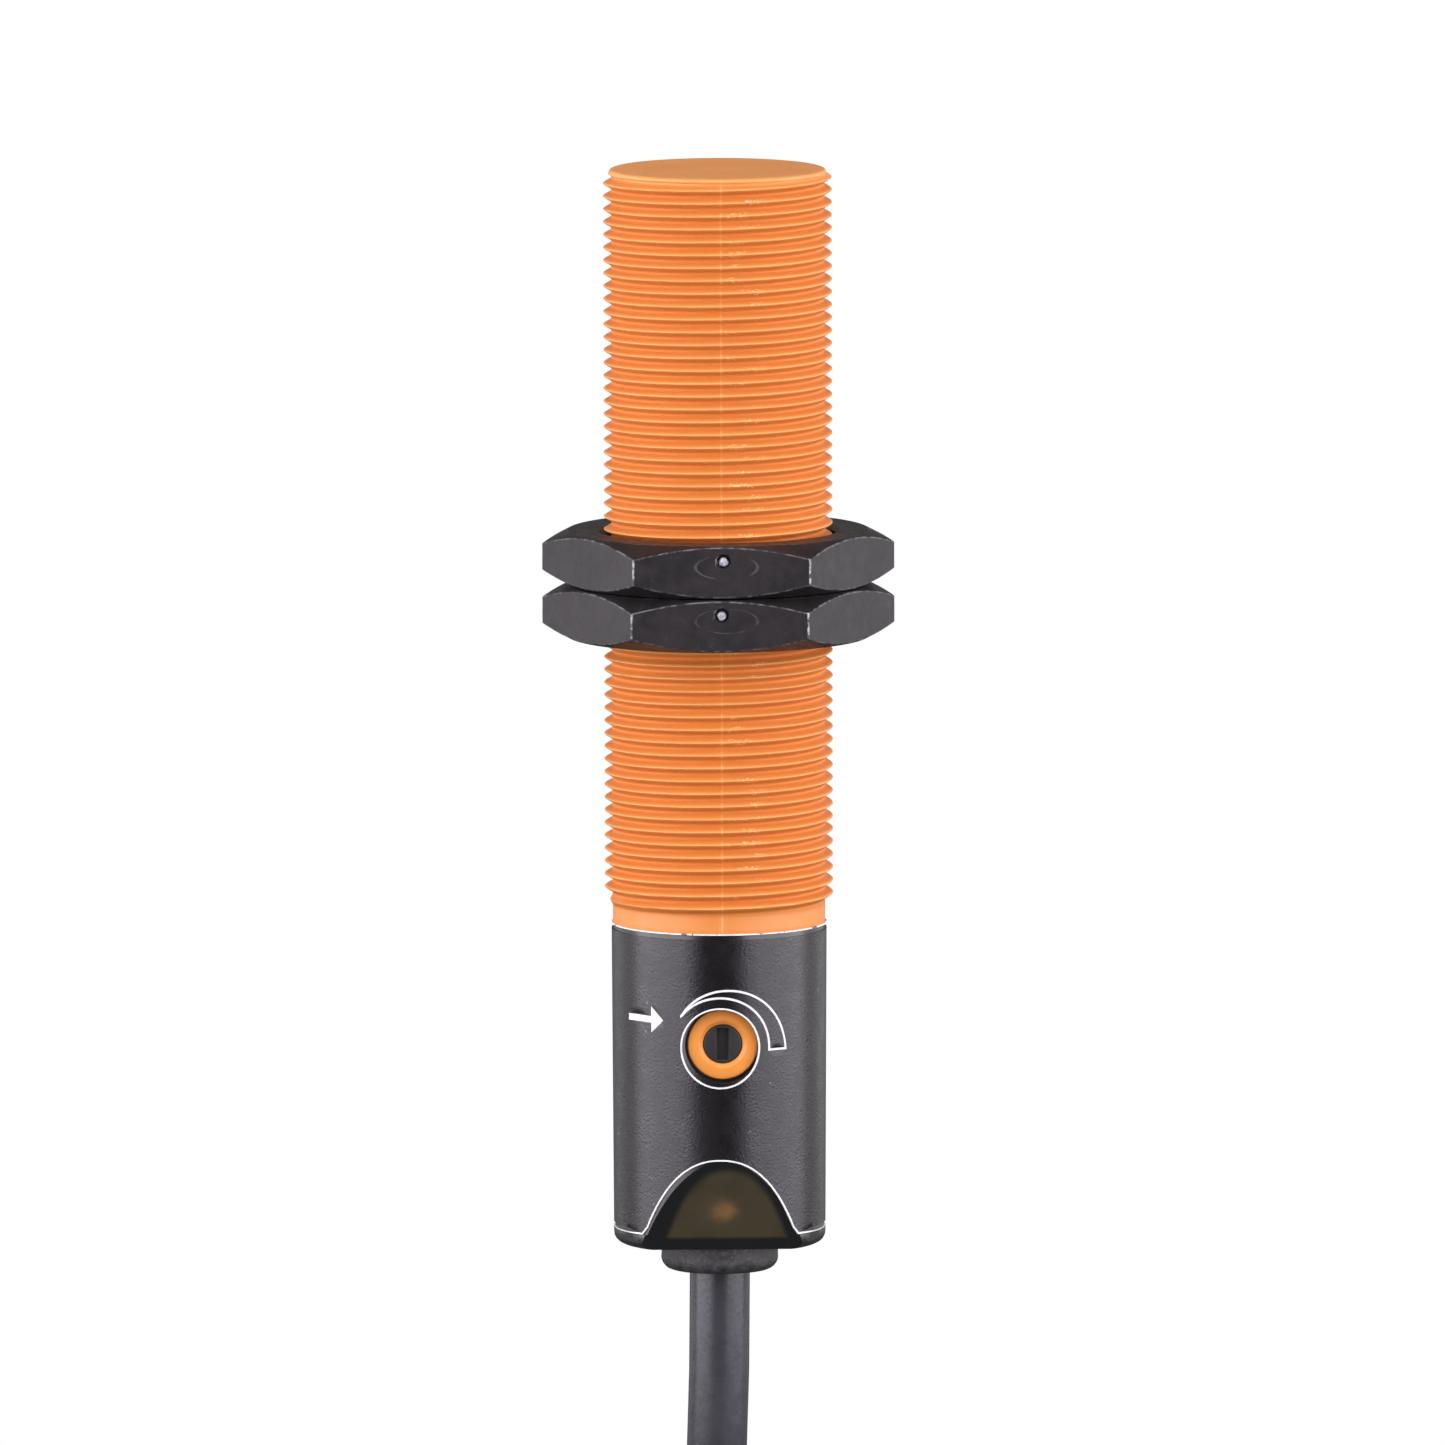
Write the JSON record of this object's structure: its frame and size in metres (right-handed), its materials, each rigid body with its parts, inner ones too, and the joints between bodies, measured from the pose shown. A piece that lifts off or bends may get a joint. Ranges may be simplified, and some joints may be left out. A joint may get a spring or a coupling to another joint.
{
  "type": "cylindrical proximity sensor",
  "caption": "Threaded cylindrical sensor with a closed sensing face, two hexagon nuts, a trimmer and status light at the rear and a fixed round cable.",
  "frame": {"origin": "on the barrel's axis, in the plane where the two nuts meet, which is where a bracket is clamped", "axes": "+Z along the barrel towards the sensing face, -Y the front with the trimmer and the status light"},
  "size_m": [0.0282, 0.0692, 0.2001],
  "materials": {
    "orange_plastic": "satin moulded thermoplastic, bright orange",
    "nut_plastic": "satin moulded glass-filled nylon, dark grey",
    "smoked_plastic": "smoked, slightly see-through moulded plastic",
    "label_film": "black printed film with a fine satin grain",
    "black_plastic": "black moulded plastic",
    "trimmer_blue": "blue moulded plastic",
    "seal_rubber": "black nitrile rubber",
    "grommet_rubber": "dark grey, rough, mottled rubber",
    "cable_jacket": "grey satin cable jacket",
    "copper": "bare copper foil",
    "brass": "brass",
    "track_carbon": "resistance track",
    "board_green": "circuit board with green solder mask",
    "carrier_white": "white moulded plastic",
    "tantalum_yellow": "yellow moulded capacitor",
    "ceramic_tan": "tan ceramic with tinned ends",
    "resistor_black": "black chip with tinned ends",
    "tinned_metal": "tin-plated metal",
    "led_lens": "diffused amber lamp",
    "crimp_aluminium": "crimped ring",
    "core_brown": "brown core insulation",
    "core_black": "black core insulation",
    "core_blue": "blue core insulation",
    "tie_black": "black strap"
  },
  "bodies": {
    "sensor": {"barrel_housing": "orange_plastic", "trimmer_ring": "orange_plastic", "rear_housing": "smoked_plastic", "label_sleeve": "label_film", "oscillator_chip": "black_plastic", "evaluation_chip": "black_plastic", "voltage_regulator": "black_plastic", "output_transistors": "black_plastic", "protection_diodes": "black_plastic", "trimmer_case": "trimmer_blue", "barrel_o_ring": "seal_rubber", "trimmer_o_ring": "seal_rubber", "cable_grommet": "grommet_rubber", "cable_lead": "cable_jacket", "cable_coil": "cable_jacket", "cable_tail": "cable_jacket", "cable_jacket_end": "cable_jacket", "sensing_electrode": "copper", "guard_electrode": "copper", "shield_sleeve": "brass", "electrode_pins": "brass", "trimmer_track": "track_carbon", "main_board": "board_green", "electrode_board": "board_green", "board_holders": "carrier_white", "storage_capacitor": "tantalum_yellow", "ceramic_capacitors": "ceramic_tan", "chip_resistors": "resistor_black", "led_leads": "tinned_metal", "solder_joints": "tinned_metal", "core_ferrules": "tinned_metal", "status_led": "led_lens", "cable_crimp_ring": "crimp_aluminium", "inner_core_brown": "core_brown", "end_core_brown": "core_brown", "inner_core_black": "core_black", "end_core_black": "core_black", "inner_core_blue": "core_blue", "end_core_blue": "core_blue", "cable_ties": "tie_black"},
    "upper_nut": {"upper_nut": "nut_plastic"},
    "lower_nut": {"lower_nut": "nut_plastic"},
    "trimmer": {"trimmer_screw": "black_plastic", "trimmer_wiper": "brass"}
  },
  "joints": [
    {"name": "upper_nut_travel", "type": "slide", "parent": "sensor", "child": "upper_nut", "axis": [0, 0, 1], "range_m": [0, 0.027]},
    {"name": "lower_nut_travel", "type": "slide", "parent": "sensor", "child": "lower_nut", "axis": [0, 0, 1], "range_m": [-0.0205, 0]},
    {"name": "trimmer_turn", "type": "hinge", "parent": "sensor", "child": "trimmer", "pos_m": [0, -0.0071, -0.0353], "axis": [0, -1, 0], "range_deg": [-135, 135]}
  ]
}
